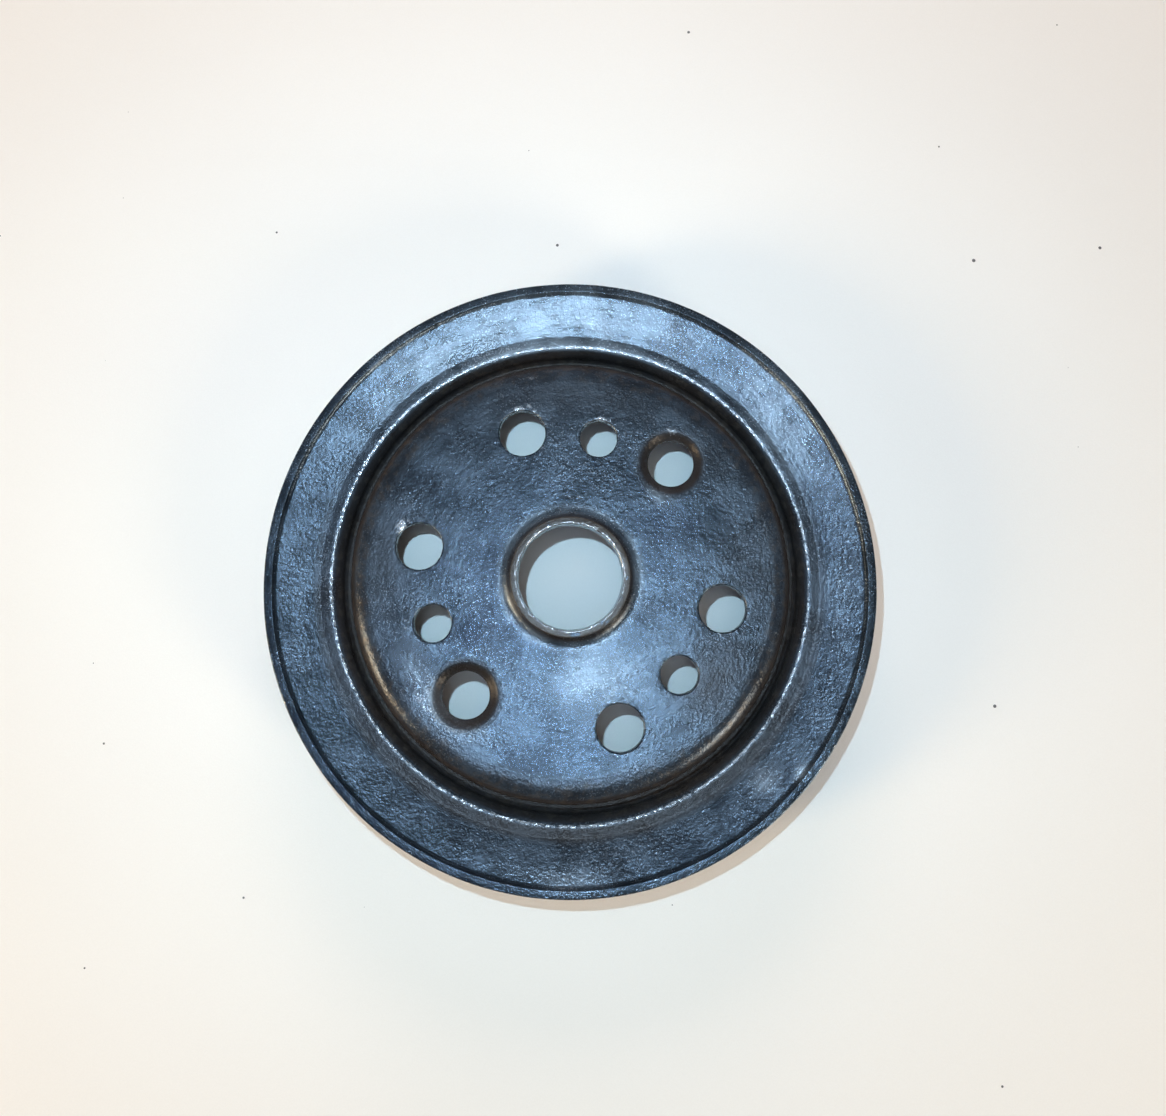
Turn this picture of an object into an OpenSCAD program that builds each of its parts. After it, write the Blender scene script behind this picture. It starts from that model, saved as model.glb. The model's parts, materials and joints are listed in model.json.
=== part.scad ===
// Single-groove V-belt pulley, pressed from steel sheet.
//
// The front pressing is the body of the pulley. From the bore outwards it is a collar drawn
// forwards, a flat web with the bolt holes, a shoulder, a narrow ring-shaped channel, a flat
// shelf and the sloping front flange. The rear flange ring closes the belt groove. Its flat
// inner part lies under the channel and is held there by a circle of spot welds.
//
// Z is the axis of the shaft. The rear rim rests on Z = 0 and the front looks up.

/* [Rims and belt groove] */
// Diameter over the rims
rim_d = 152.4; // [130:0.1:200]
// Width of the belt groove at the rims
groove_top = 12.7; // [10:0.1:17]
// Included angle of the belt groove
groove_angle = 36; // [32:1:40]
// Straight part of the groove floor, across the groove
floor_flat = 0.4; // [0.2:0.1:1.5]
// Straight part of the shelf, between the flange and the lip
shelf_flat = 2.1; // [0.8:0.1:4]
// Height of the turned-up rim edge above the flange face
rim_raise = 0.8; // [0.4:0.1:1.4]

/* [Sheet] */
// Thickness of both pressings
sheet = 2.3; // [1.6:0.1:2.8]
// Inside radius of the bend at the lip, between shelf and channel
lip_bend = 0.7; // [0.4:0.1:1.2]
// Inside radius of the bends in the floor of the channel
foot_bend = 1.2; // [0.6:0.1:1.6]
// Flat part of the channel floor, between its bends
channel_flat = 0.9; // [0.5:0.1:3]
// Inside radius of the bend at the shoulder of the web
shoulder_bend = 2.7; // [1.5:0.1:5]

/* [Web and bore] */
// Height of the web's front face above the front rim
web_rise = 2.0; // [0:0.1:8]
// Diameter of the bore
bore_d = 25.4; // [16:0.1:34]
// Height of the collar above the web's front face
collar_h = 5.5; // [3:0.1:8]
// Wall of the collar
collar_wall = 1.8; // [1.2:0.1:2.8]
// Radius at the foot of the collar
collar_fillet = 3; // [1:0.1:4]
// Radius at the rear entry of the bore
bore_entry = 1.6; // [0.5:0.1:1.6]

/* [Bolt holes] */
// Number of large bolt holes
large_count = 6; // [4, 6, 8]
// Diameter of the large bolt holes
large_d = 11.5; // [8:0.1:14]
// Bolt circle of the large holes
large_pcd = 76.2; // [66:0.1:84]
// Diameter of the small bolt holes
small_d = 9.2; // [5:0.1:11]
// Bolt circle of the small holes
small_pcd = 71.0; // [62:0.1:84]
// Angle of the first large hole from +X
hole_turn = 48.4; // [0:0.1:90]
// Diameter of the countersink around the two sunk holes
sink_d = 14.8; // [14.5:0.1:18]
// Depth of that countersink
sink_depth = 1.4; // [0.4:0.1:1.5]

/* [Spot welds] */
// Number of spot welds
weld_count = 12; // [6:1:24]
// Depth of the mark that each weld leaves in the rear face
weld_dent = 0.25; // [0.1:0.05:0.5]

/* [Hidden] */

smooth = 180;                  // sides of the round shapes on screen
arc_step = 11.25;              // degrees between the points of a bend
rim_round = 0.5;               // edges of the rim
rim_turn = 1.1;                // groove side of the turned-up rim
edge_round = 0.3;              // cut edges of the sheet
flange_bend = 2;               // inside radius where flange meets shelf
sunk_count = 2;                // large holes with a countersink, opposite each other
small_count = large_count / 2; // one small hole in every second gap between large ones

rim_r = rim_d / 2;
half_angle = groove_angle / 2;
slope = tan(half_angle);
flange_h = sheet / cos(half_angle); // the sheet, measured along Z on the flange

// Groove floor, wide enough for the lip bend and the channel bend beside each other
floor_w = lip_bend + foot_bend + sheet + floor_flat;

// Rims, and the groove's middle plane
rim_edge = flange_h - sheet * slope + rim_raise;
rim_w = groove_top + 2 * rim_edge;
mid_z = rim_w / 2;
shelf_z = mid_z + floor_w / 2; // underside of the shelf
foot_z = mid_z - floor_w / 2;  // underside of the channel, top of the rear ring

// Where the flange faces reach the level of shelf and ring
flange_in_r = rim_r - (groove_top - floor_w) / 2 / slope;
flange_out_r = flange_in_r - (flange_h - sheet) / slope;

// Shelf, lip and groove floor
lip_r = flange_out_r - shelf_flat - lip_bend - sheet;
floor_r = lip_r + sheet;

// Channel and web
channel_w = 2 * foot_bend + channel_flat;
wall_r = lip_r - channel_w;
web_front = rim_w + web_rise;
web_rear = web_front - sheet;
ring_in_r = wall_r - sheet;

// Bore and collar
bore_r = bore_d / 2;
collar_r = bore_r + collar_wall;
collar_top = web_front + collar_h;

// Spot welds, in the middle of the channel
weld_r = (lip_r + wall_r) / 2;
weld_d = channel_w - 0.2;
weld_reach = sheet / 2; // how far a weld goes into the front pressing

// The points of the arc that rounds corner b between a and c
function unit(v) = v / norm(v);
function corner_arc(a, b, c, radius) =
    let (
        to_a = unit(a - b),
        to_c = unit(c - b),
        opening = acos(max(-1, min(1, to_a * to_c))),
        turn = 180 - opening,
        reach = radius / tan(opening / 2),
        start = b + to_a * reach,
        middle = b + unit(to_a + to_c) * radius / sin(opening / 2),
        side = cross(to_a, to_c) > 0 ? -1 : 1,
        from = atan2(start.y - middle.y, start.x - middle.x),
        steps = max(1, ceil(turn / arc_step))
    )
    [for (i = [0:steps]) middle + radius * [cos(from + side * turn * i / steps),
                                            sin(from + side * turn * i / steps)]];

// A closed outline of [r, z, radius] corners, each one rounded
function rounded(corners) =
    let (n = len(corners), at = [for (k = corners) [k[0], k[1]]])
    [for (i = [0:n - 1])
        each corners[i][2] > 0
            ? corner_arc(at[(i + n - 1) % n], at[i], at[(i + 1) % n], corners[i][2])
            : [at[i]]];

// Front pressing, in section: first its front face from the rim inwards, then its rear face
front_section = rounded([
    [rim_r, rim_w, rim_round],
    [rim_r - sheet, rim_w, edge_round],
    [rim_r - sheet, rim_w - rim_raise, 0],
    [flange_out_r, shelf_z + sheet, flange_bend],
    [lip_r, shelf_z + sheet, lip_bend + sheet],
    [lip_r, foot_z + sheet, foot_bend],
    [wall_r, foot_z + sheet, foot_bend],
    [wall_r, web_front, shoulder_bend + sheet],
    [collar_r, web_front, collar_fillet],
    [collar_r, collar_top, edge_round],
    [bore_r, collar_top, edge_round],
    [bore_r, web_rear, bore_entry],
    [wall_r - sheet, web_rear, shoulder_bend],
    [wall_r - sheet, foot_z, foot_bend + sheet],
    [floor_r, foot_z, foot_bend + sheet],
    [floor_r, shelf_z, lip_bend],
    [flange_in_r, shelf_z, flange_bend + sheet],
    [rim_r, mid_z + groove_top / 2, rim_turn],
]);

// Rear flange ring, in section: its groove face from the rim inwards, then its rear face
ring_section = rounded([
    [rim_r, mid_z - groove_top / 2, rim_turn],
    [flange_in_r, foot_z, flange_bend + sheet],
    [ring_in_r, foot_z, edge_round],
    [ring_in_r, foot_z - sheet, edge_round],
    [flange_out_r, foot_z - sheet, flange_bend],
    [rim_r - sheet, rim_raise, 0],
    [rim_r - sheet, 0, edge_round],
    [rim_r, 0, rim_round],
]);

// A circle of places about the axis
module around(count, pcd, turn) {
    for (i = [0:count - 1])
        rotate(turn + i * 360 / count) translate([pcd / 2, 0, 0]) children();
}

module hole(d) {
    translate([0, 0, web_rear - sheet]) cylinder(d = d, h = 3 * sheet, $fn = smooth / 3);
}

// The front of a sunk hole, pressed in as a cone
module sink() {
    translate([0, 0, web_front - sink_depth])
        cylinder(d1 = large_d, d2 = sink_d + (sink_d - large_d), h = 2 * sink_depth, $fn = smooth / 3);
}

module bolt_holes() {
    around(large_count, large_pcd, hole_turn) hole(large_d);
    around(small_count, small_pcd, hole_turn + 180 / large_count) hole(small_d);
    around(sunk_count, large_pcd, hole_turn) sink();
}

module weld_buttons() {
    around(weld_count, 2 * weld_r, hole_turn)
        translate([0, 0, foot_z - sheet + weld_dent])
            cylinder(d = weld_d, h = sheet - weld_dent + weld_reach, $fn = smooth / 5);
}

// The dents in the rear face, where the welding tips pressed
module weld_dents() {
    around(weld_count, 2 * weld_r, hole_turn)
        translate([0, 0, foot_z - sheet - 1])
            cylinder(d = weld_d, h = sheet + 1, $fn = smooth / 5);
}

module front_pressing() {
    color("#2b3138")
    difference() {
        rotate_extrude($fn = smooth) polygon(front_section);
        bolt_holes();
        weld_buttons();
    }
}

module rear_flange_ring() {
    color("#3a4149")
    difference() {
        rotate_extrude($fn = smooth) polygon(ring_section);
        weld_dents();
        weld_buttons();
    }
}

module spot_welds() {
    color("#6d6459") weld_buttons();
}

front_pressing();
rear_flange_ring();
spot_welds();
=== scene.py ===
"""Visual model of a pressed-steel V-belt pulley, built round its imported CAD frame.

The pulley is two sheet-metal pressings and the spot welds that join them. Each pressing is
a section swept round the shaft by Geometry Nodes; the web between collar and shoulder is
pierced by the bolt holes. Z is the shaft's axis and the front looks up. Sections, patches and
wear are worked out in millimetres, everything else in metres.
"""

import json
import logging
import math
from dataclasses import dataclass
from enum import Enum
from functools import reduce

import bmesh
import bpy
from mathutils import Matrix, Vector, geometry, noise


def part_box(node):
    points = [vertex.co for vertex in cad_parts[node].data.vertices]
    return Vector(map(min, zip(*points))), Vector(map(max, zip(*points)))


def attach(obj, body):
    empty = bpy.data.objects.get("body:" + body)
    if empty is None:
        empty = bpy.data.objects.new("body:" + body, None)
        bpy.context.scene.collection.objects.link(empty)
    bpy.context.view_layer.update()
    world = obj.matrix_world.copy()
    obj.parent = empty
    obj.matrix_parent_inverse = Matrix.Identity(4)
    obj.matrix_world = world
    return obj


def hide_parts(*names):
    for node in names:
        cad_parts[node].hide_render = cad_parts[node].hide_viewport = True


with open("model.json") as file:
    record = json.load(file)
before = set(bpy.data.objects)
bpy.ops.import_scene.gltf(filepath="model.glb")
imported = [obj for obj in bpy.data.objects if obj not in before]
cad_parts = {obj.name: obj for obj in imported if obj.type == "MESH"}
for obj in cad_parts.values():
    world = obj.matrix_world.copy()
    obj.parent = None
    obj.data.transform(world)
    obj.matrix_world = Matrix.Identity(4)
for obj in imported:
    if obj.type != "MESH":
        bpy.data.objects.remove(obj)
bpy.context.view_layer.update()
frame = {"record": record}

LOG = logging.getLogger("pulley")
MM = 0.001
SEED = 11
SWEEP_RADIUS = 1e-6  # circle that a section is swept along; small enough to count as the axis
MERGE_GAP = 2e-6  # points nearer than this are the same point
NONE_LEFT_OUT = 1000  # more than the places on any bolt circle, so that none is left out

Point = tuple[float, float]


class Side(Enum):
    """Which way a face of the web looks."""

    FRONT = "front"
    REAR = "rear"


class HoleKind(Enum):
    """How a bolt hole is finished at the front."""

    PLAIN = "plain"
    SUNK = "sunk"


@dataclass(frozen=True)
class Colour:
    """A linear colour."""

    red: float
    green: float
    blue: float

    def rgba(self) -> tuple[float, float, float, float]:
        """The colour as a shader socket wants it."""
        return (self.red, self.green, self.blue, 1.0)


Term = bpy.types.NodeSocket | Colour | float  # what a node's input takes: a link or a value


# -------- Sections --------


@dataclass(frozen=True)
class Corner:
    """A corner of a section and the radius that rounds it, in millimetres.

    Args:
        radius: distance from the axis.
        height: height above the rear rim.
        bend: radius of the rounding, 0 for a sharp corner.
    """

    radius: float
    height: float
    bend: float = 0.0

    def at(self) -> Vector:
        """The corner's place as a flat vector."""
        return Vector((self.radius, self.height))


@dataclass(frozen=True)
class PulleySection:
    """The sizes of both pressings in millimetres, and the outlines that follow from them."""

    rim_radius: float
    bore_radius: float
    groove_top: float = 12.7
    groove_angle: float = 36.0
    floor_flat: float = 0.4
    shelf_flat: float = 2.1
    rim_raise: float = 0.8
    sheet: float = 2.3
    lip_bend: float = 0.7
    foot_bend: float = 1.2
    channel_flat: float = 0.9
    shoulder_bend: float = 2.7
    web_rise: float = 2.0
    collar_height: float = 5.5
    collar_wall: float = 1.8
    collar_fillet: float = 3.0
    bore_entry: float = 1.6
    rim_round: float = 0.5
    rim_turn: float = 1.1
    edge_round: float = 0.3
    flange_bend: float = 2.0
    weld_dent: float = 0.25
    arc_turn: float = 9.0  # degrees between the points of a bend
    run: float = 0.85  # longest straight step between two points
    same_point: float = 1e-4

    @property
    def slope(self) -> float:
        """Rise of the groove's side along the axis for each step outwards."""
        return math.tan(math.radians(self.groove_angle / 2))

    @property
    def flange_height(self) -> float:
        """Sheet thickness measured along the axis on the sloping flange."""
        return self.sheet / math.cos(math.radians(self.groove_angle / 2))

    @property
    def floor_width(self) -> float:
        """Width of the groove's floor."""
        return self.lip_bend + self.foot_bend + self.sheet + self.floor_flat

    @property
    def rim_height(self) -> float:
        """Height of the front rim above the rear rim."""
        edge = self.flange_height - self.sheet * self.slope + self.rim_raise
        return self.groove_top + 2 * edge

    @property
    def shelf_height(self) -> float:
        """Height of the shelf's underside."""
        return (self.rim_height + self.floor_width) / 2

    @property
    def foot_height(self) -> float:
        """Height of the channel's underside, where the rear ring's inner part lies."""
        return (self.rim_height - self.floor_width) / 2

    @property
    def flange_in_radius(self) -> float:
        """Where the groove's side meets the level of shelf and ring."""
        return self.rim_radius - (self.groove_top - self.floor_width) / 2 / self.slope

    @property
    def flange_out_radius(self) -> float:
        """Where the flange's outer face meets the level of shelf and ring."""
        return self.flange_in_radius - (self.flange_height - self.sheet) / self.slope

    @property
    def lip_radius(self) -> float:
        """Outer wall of the channel."""
        return self.flange_out_radius - self.shelf_flat - self.lip_bend - self.sheet

    @property
    def wall_radius(self) -> float:
        """Inner wall of the channel."""
        return self.lip_radius - 2 * self.foot_bend - self.channel_flat

    @property
    def web_front(self) -> float:
        """Height of the web's front face."""
        return self.rim_height + self.web_rise

    @property
    def web_rear(self) -> float:
        """Height of the web's rear face."""
        return self.web_front - self.sheet

    @property
    def collar_radius(self) -> float:
        """Outside radius of the collar round the bore."""
        return self.bore_radius + self.collar_wall

    @property
    def collar_top(self) -> float:
        """Height of the collar's end."""
        return self.web_front + self.collar_height

    @property
    def weld_radius(self) -> float:
        """Radius of the circle of spot welds, in the middle of the channel."""
        return (self.lip_radius + self.wall_radius) / 2

    @property
    def weld_width(self) -> float:
        """Diameter of one spot weld."""
        return self.lip_radius - self.wall_radius - 0.2

    @property
    def web_outer(self) -> float:
        """Radius where the flat front of the web turns into the shoulder."""
        return self.wall_radius - self.shoulder_bend - self.sheet

    @property
    def web_inner(self) -> float:
        """Radius where the flat front of the web turns up into the collar."""
        return self.collar_radius + self.collar_fillet

    def rim_chain(self) -> list[Corner]:
        """Corners from the web's rear face round the rim to the web's front face."""
        wall_rear = self.wall_radius - self.sheet
        shelf_front = self.shelf_height + self.sheet
        foot_front = self.foot_height + self.sheet
        thick_bend = self.foot_bend + self.sheet
        groove_edge = (self.rim_height + self.groove_top) / 2
        rim_inner = self.rim_radius - self.sheet
        return [
            Corner(self.web_outer, self.web_rear),
            Corner(wall_rear, self.web_rear, self.shoulder_bend),
            Corner(wall_rear, self.foot_height, thick_bend),
            Corner(self.lip_radius + self.sheet, self.foot_height, thick_bend),
            Corner(self.lip_radius + self.sheet, self.shelf_height, self.lip_bend),
            Corner(self.flange_in_radius, self.shelf_height, self.flange_bend + self.sheet),
            Corner(self.rim_radius, groove_edge, self.rim_turn),
            Corner(self.rim_radius, self.rim_height, self.rim_round),
            Corner(rim_inner, self.rim_height, self.edge_round),
            Corner(rim_inner, self.rim_height - self.rim_raise),
            Corner(self.flange_out_radius, shelf_front, self.flange_bend),
            Corner(self.lip_radius, shelf_front, self.lip_bend + self.sheet),
            Corner(self.lip_radius, foot_front, self.foot_bend),
            Corner(self.wall_radius, foot_front, self.foot_bend),
            Corner(self.wall_radius, self.web_front, self.shoulder_bend + self.sheet),
            Corner(self.web_outer, self.web_front),
        ]

    def collar_chain(self) -> list[Corner]:
        """Corners from the web's front face over the collar to the web's rear face."""
        return [
            Corner(self.web_inner, self.web_front),
            Corner(self.collar_radius, self.web_front, self.collar_fillet),
            Corner(self.collar_radius, self.collar_top, self.edge_round),
            Corner(self.bore_radius, self.collar_top, self.edge_round),
            Corner(self.bore_radius, self.web_rear, self.bore_entry),
            Corner(self.web_inner, self.web_rear),
        ]

    def ring_chain(self) -> list[Corner]:
        """Corners of the rear flange ring, a closed outline from the groove's edge inwards."""
        ring_in = self.wall_radius - self.sheet
        rear_face = self.foot_height - self.sheet
        groove_edge = (self.rim_height - self.groove_top) / 2
        rim_inner = self.rim_radius - self.sheet
        return [
            Corner(self.rim_radius, groove_edge, self.rim_turn),
            Corner(self.flange_in_radius, self.foot_height, self.flange_bend + self.sheet),
            Corner(ring_in, self.foot_height, self.edge_round),
            Corner(ring_in, rear_face, self.edge_round),
            Corner(self.flange_out_radius, rear_face, self.flange_bend),
            Corner(rim_inner, self.rim_raise),
            Corner(rim_inner, 0.0, self.edge_round),
            Corner(self.rim_radius, 0.0, self.rim_round),
        ]

    def weld_chain(self) -> list[Corner]:
        """Half section of one spot weld, from its dished rear face up into the sheet."""
        low = self.foot_height - self.sheet + self.weld_dent
        half = self.weld_width / 2
        return [
            Corner(0.0, low + 0.12),
            Corner(0.45 * half, low + 0.08, 0.5),
            Corner(0.8 * half, low),
            Corner(half, low + 0.1, 0.1),
            Corner(half, self.foot_height + self.sheet / 2),
            Corner(0.0, self.foot_height + self.sheet / 2),
        ]

    def outline(self, corners: list[Corner], closed: bool) -> list[Point]:
        """Rounds a chain of corners and splits its long straights.

        Args:
            corners: the corners in order.
            closed: whether the last corner runs back to the first.

        Returns:
            The outline's points in metres.
        """
        rounded: list[Vector] = []
        for i, corner in enumerate(corners):
            if corner.bend > 0:
                before = corners[i - 1].at()
                after = corners[(i + 1) % len(corners)].at()
                rounded += self._arc(before, corner, after)
            else:
                rounded.append(corner.at())
        if closed:
            rounded.append(rounded[0])
        points = [rounded[0]]
        for start, end in zip(rounded, rounded[1:]):
            if (end - start).length < self.same_point:
                continue
            steps = math.ceil((end - start).length / self.run)
            points += [start.lerp(end, k / steps) for k in range(1, steps + 1)]
        if closed:
            points.pop()
        return [(p.x * MM, p.y * MM) for p in points]

    def _arc(self, before: Vector, corner: Corner, after: Vector) -> list[Vector]:
        """The points of the arc that rounds one corner between its two neighbours."""
        at = corner.at()
        to_before = (before - at).normalized()
        to_after = (after - at).normalized()
        opening = to_before.angle(to_after)
        start = at + to_before * corner.bend / math.tan(opening / 2)
        middle = at + (to_before + to_after).normalized() * corner.bend / math.sin(opening / 2)
        turn = math.pi - opening
        if to_before.cross(to_after) > 0:
            turn = -turn
        steps = max(2, math.ceil(abs(math.degrees(turn)) / self.arc_turn))
        spoke = start - middle
        return [middle + Matrix.Rotation(turn * i / steps, 2) @ spoke for i in range(steps + 1)]


@dataclass(frozen=True)
class Hole:
    """The shape of one bolt hole through the web, in metres.

    Args:
        radius: radius of its wall.
        kind: how its front edge is finished.
        edge: rounding of its edges.
        sink_radius: radius of the pressed-in cone at the front face.
        sink_round: how far the web dips outside that cone.
        sink_depth: depth of that cone.
        sides: points round the wall.
    """

    radius: float
    kind: HoleKind
    edge: float = 0.45 * MM
    sink_radius: float = 6.9 * MM
    sink_round: float = 1.3 * MM
    sink_depth: float = 1.4 * MM
    sides: int = 72

    def opening(self, side: Side) -> float:
        """Radius of the opening in one face of the web."""
        if self.kind is HoleKind.SUNK and side is Side.FRONT:
            return self.sink_radius + self.sink_round
        return self.radius + self.edge

    def wall_profile(self, front: float, rear: float) -> list[Point]:
        """The wall in section, from the front face to the rear face.

        Args:
            front: height of the web's front face.
            rear: height of the web's rear face.

        Returns:
            Points of distance from the hole's axis and height.
        """
        # a quarter turn in steps of 15 degrees, for the rounded edges
        quarter = [math.radians(15 * i) for i in range(7)]
        points: list[Point] = []
        if self.kind is HoleKind.SUNK:
            # the web dips in a soft S from the flat down to the foot of the cone
            outer = self.opening(Side.FRONT)
            steps = 12
            for i in range(steps + 1):
                share = i / steps
                dip = share * share * (3 - 2 * share)
                points.append((outer + (self.radius - outer) * share, front - self.sink_depth * dip))
        else:
            points += [
                (self.radius + self.edge * (1 - math.sin(a)), front - self.edge * (1 - math.cos(a)))
                for a in quarter
            ]
        low = rear + self.edge
        top = points[-1]
        points += [(self.radius, top[1] + (low - top[1]) * i / 3) for i in range(1, 4)]
        points += [
            (self.radius + self.edge * (1 - math.cos(a)), low - self.edge * math.sin(a))
            for a in quarter[1:]
        ]
        return points


# -------- Geometry Nodes --------


class NodeRecipe:
    """Writes one node tree: adds nodes, sets their inputs and links them.

    Args:
        tree: the node tree to fill.
    """

    def __init__(self, tree: bpy.types.NodeTree) -> None:
        """Keeps the tree that the recipe writes to."""
        self.tree = tree

    @classmethod
    def group(cls, name: str, kind: str, inputs: dict, outputs: dict) -> "NodeRecipe":
        """Starts a node group with named inputs and outputs.

        Args:
            name: the group's name.
            kind: "Geometry" or "Shader".
            inputs: what each input holds, by its name.
            outputs: what each output holds, by its name.

        Returns:
            The recipe of the new group, which is still empty.
        """
        recipe = cls(bpy.data.node_groups.new(name, kind + "NodeTree"))
        for way, sockets in (("INPUT", inputs), ("OUTPUT", outputs)):
            for socket, holds in sockets.items():
                kind_name = "NodeSocket" + holds
                recipe.tree.interface.new_socket(socket, in_out=way, socket_type=kind_name)
        return recipe

    def add(self, kind: str, inputs: dict | None = None, **settings) -> bpy.types.Node:
        """Adds a node.

        Args:
            kind: the node's type name.
            inputs: values, colours or output sockets by input name or index.
            **settings: properties of the node itself.

        Returns:
            The new node.
        """
        node = self.tree.nodes.new(kind)
        for name, value in settings.items():
            setattr(node, name, value)
        for key, value in (inputs or {}).items():
            if isinstance(value, bpy.types.NodeSocket):
                self.tree.links.new(value, node.inputs[key])
            else:
                plain = value.rgba() if isinstance(value, Colour) else value
                node.inputs[key].default_value = plain
        return node

    def math(self, operation: str, first: Term, second: Term = 0.0, clamp: bool = False) -> Term:
        """One arithmetic step on two values or sockets."""
        node = self.add("ShaderNodeMath", {0: first, 1: second}, operation=operation, use_clamp=clamp)
        return node.outputs[0]

    def plus(self, *terms: Term) -> Term:
        """The sum of values or sockets."""
        return reduce(lambda first, second: self.math("ADD", first, second), terms)

    def times(self, first: Term, second: Term, clamp: bool = False) -> Term:
        """The product of two values or sockets."""
        return self.math("MULTIPLY", first, second, clamp)

    def minus(self, first: Term, second: Term, clamp: bool = False) -> Term:
        """The difference of two values or sockets."""
        return self.math("SUBTRACT", first, second, clamp)

    def ramp(
        self, value: Term, start: float, end: float, top: float = 1.0, smooth: bool = False
    ) -> Term:
        """0 at the start value, rising to the top at the end value, and level outside them."""
        node = self.add(
            "ShaderNodeMapRange",
            {"Value": value, "From Min": start, "From Max": end, "To Max": top},
            interpolation_type="SMOOTHSTEP" if smooth else "LINEAR",
        )
        return node.outputs[0]

    def mix(self, share: Term, first: Term, second: Term) -> Term:
        """Mixes two colours."""
        node = self.add("ShaderNodeMix", {0: share, 6: first, 7: second}, data_type="RGBA")
        return node.outputs[2]

    def noise(self, place: Term, scale: Term, detail: float, **inputs: float) -> Term:
        """Noise from 0 to 1 at a place."""
        wanted = {"Vector": place, "Scale": scale, "Detail": detail, **inputs}
        return self.add("ShaderNodeTexNoise", wanted).outputs[0]


def sweep_tree() -> bpy.types.NodeTree:
    """A node tree that sweeps a section of edges round the Z axis."""
    recipe = NodeRecipe.group(
        "sweep_round_axis",
        "Geometry",
        {"Section": "Geometry", "Steps": "Int", "Material": "Material"},
        {"Shell": "Geometry"},
    )
    given = recipe.add("NodeGroupInput").outputs
    profile = recipe.add("GeometryNodeMeshToCurve", {"Mesh": given["Section"]})
    circle = recipe.add(
        "GeometryNodeCurvePrimitiveCircle", {"Resolution": given["Steps"], "Radius": SWEEP_RADIUS}
    )
    swept = recipe.add(
        "GeometryNodeCurveToMesh",
        {"Curve": circle.outputs["Curve"], "Profile Curve": profile.outputs["Curve"]},
    )
    return finished(recipe, swept.outputs["Mesh"], given["Material"])


def circle_tree() -> bpy.types.NodeTree:
    """A node tree that repeats a piece on a bolt circle, leaving out every n-th place."""
    recipe = NodeRecipe.group(
        "repeat_on_circle",
        "Geometry",
        {
            "Piece": "Geometry",
            "Count": "Int",
            "Radius": "Float",
            "Turn": "Float",
            "Leave Out": "Int",
            "Material": "Material",
        },
        {"Ring": "Geometry"},
    )
    given = recipe.add("NodeGroupInput").outputs
    points = recipe.add("GeometryNodePoints", {"Count": given["Count"]}).outputs[0]
    index = recipe.add("GeometryNodeInputIndex").outputs[0]
    step = recipe.math("DIVIDE", math.tau, given["Count"])
    angle = recipe.plus(recipe.times(index, step), given["Turn"])
    place = recipe.add(
        "ShaderNodeCombineXYZ",
        {
            "X": recipe.times(recipe.math("COSINE", angle), given["Radius"]),
            "Y": recipe.times(recipe.math("SINE", angle), given["Radius"]),
        },
    ).outputs[0]
    placed = recipe.add("GeometryNodeSetPosition", {"Geometry": points, "Position": place})
    rest = recipe.math("MODULO", recipe.plus(index, 1.0), given["Leave Out"])
    ring = recipe.add(
        "GeometryNodeInstanceOnPoints",
        {
            "Points": placed.outputs[0],
            "Selection": recipe.math("GREATER_THAN", rest, 0.5),
            "Instance": given["Piece"],
            "Rotation": recipe.add("ShaderNodeCombineXYZ", {"Z": angle}).outputs[0],
        },
    )
    return finished(recipe, ring.outputs[0], given["Material"])


def finished(recipe: NodeRecipe, shape: Term, material: Term) -> bpy.types.NodeTree:
    """Ends a tree: real geometry, with the material on it, goes to its output."""
    real = recipe.add("GeometryNodeRealizeInstances", {"Geometry": shape}).outputs[0]
    dressed = recipe.add("GeometryNodeSetMaterial", {"Geometry": real, "Material": material})
    recipe.add("NodeGroupOutput", {0: dressed.outputs[0]})
    return recipe.tree


def run_nodes(
    name: str, source: bpy.types.Mesh, tree: bpy.types.NodeTree, values: dict
) -> bpy.types.Mesh:
    """Evaluates a Geometry Nodes tree once and keeps the result as a plain mesh.

    Args:
        name: name of the new mesh.
        source: the mesh that goes in.
        tree: the node tree.
        values: the tree's inputs by name.

    Returns:
        The finished mesh, with no modifier behind it.
    """
    carrier = bpy.data.objects.new(name + "_carrier", source)
    bpy.context.scene.collection.objects.link(carrier)
    modifier = carrier.modifiers.new(tree.name, "NODES")
    modifier.node_group = tree
    for item in tree.interface.items_tree:
        if item.name in values:
            modifier[item.identifier] = values[item.name]
    shape = carrier.evaluated_get(bpy.context.evaluated_depsgraph_get())
    made = bpy.data.meshes.new_from_object(shape)
    made.name = name
    bpy.data.objects.remove(carrier)
    bpy.data.meshes.remove(source)
    return made


def section_mesh(points: list[Point], closed: bool) -> bpy.types.Mesh:
    """A section drawn as edges, with the distance from the axis along X and -height along Y."""
    mesh = bpy.data.meshes.new("section")
    vertices = [(r - SWEEP_RADIUS, -z, 0.0) for r, z in points]
    edges = [(i, i + 1) for i in range(len(points) - 1)]
    if closed:
        edges.append((len(points) - 1, 0))
    mesh.from_pydata(vertices, edges, [])
    return mesh


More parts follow.
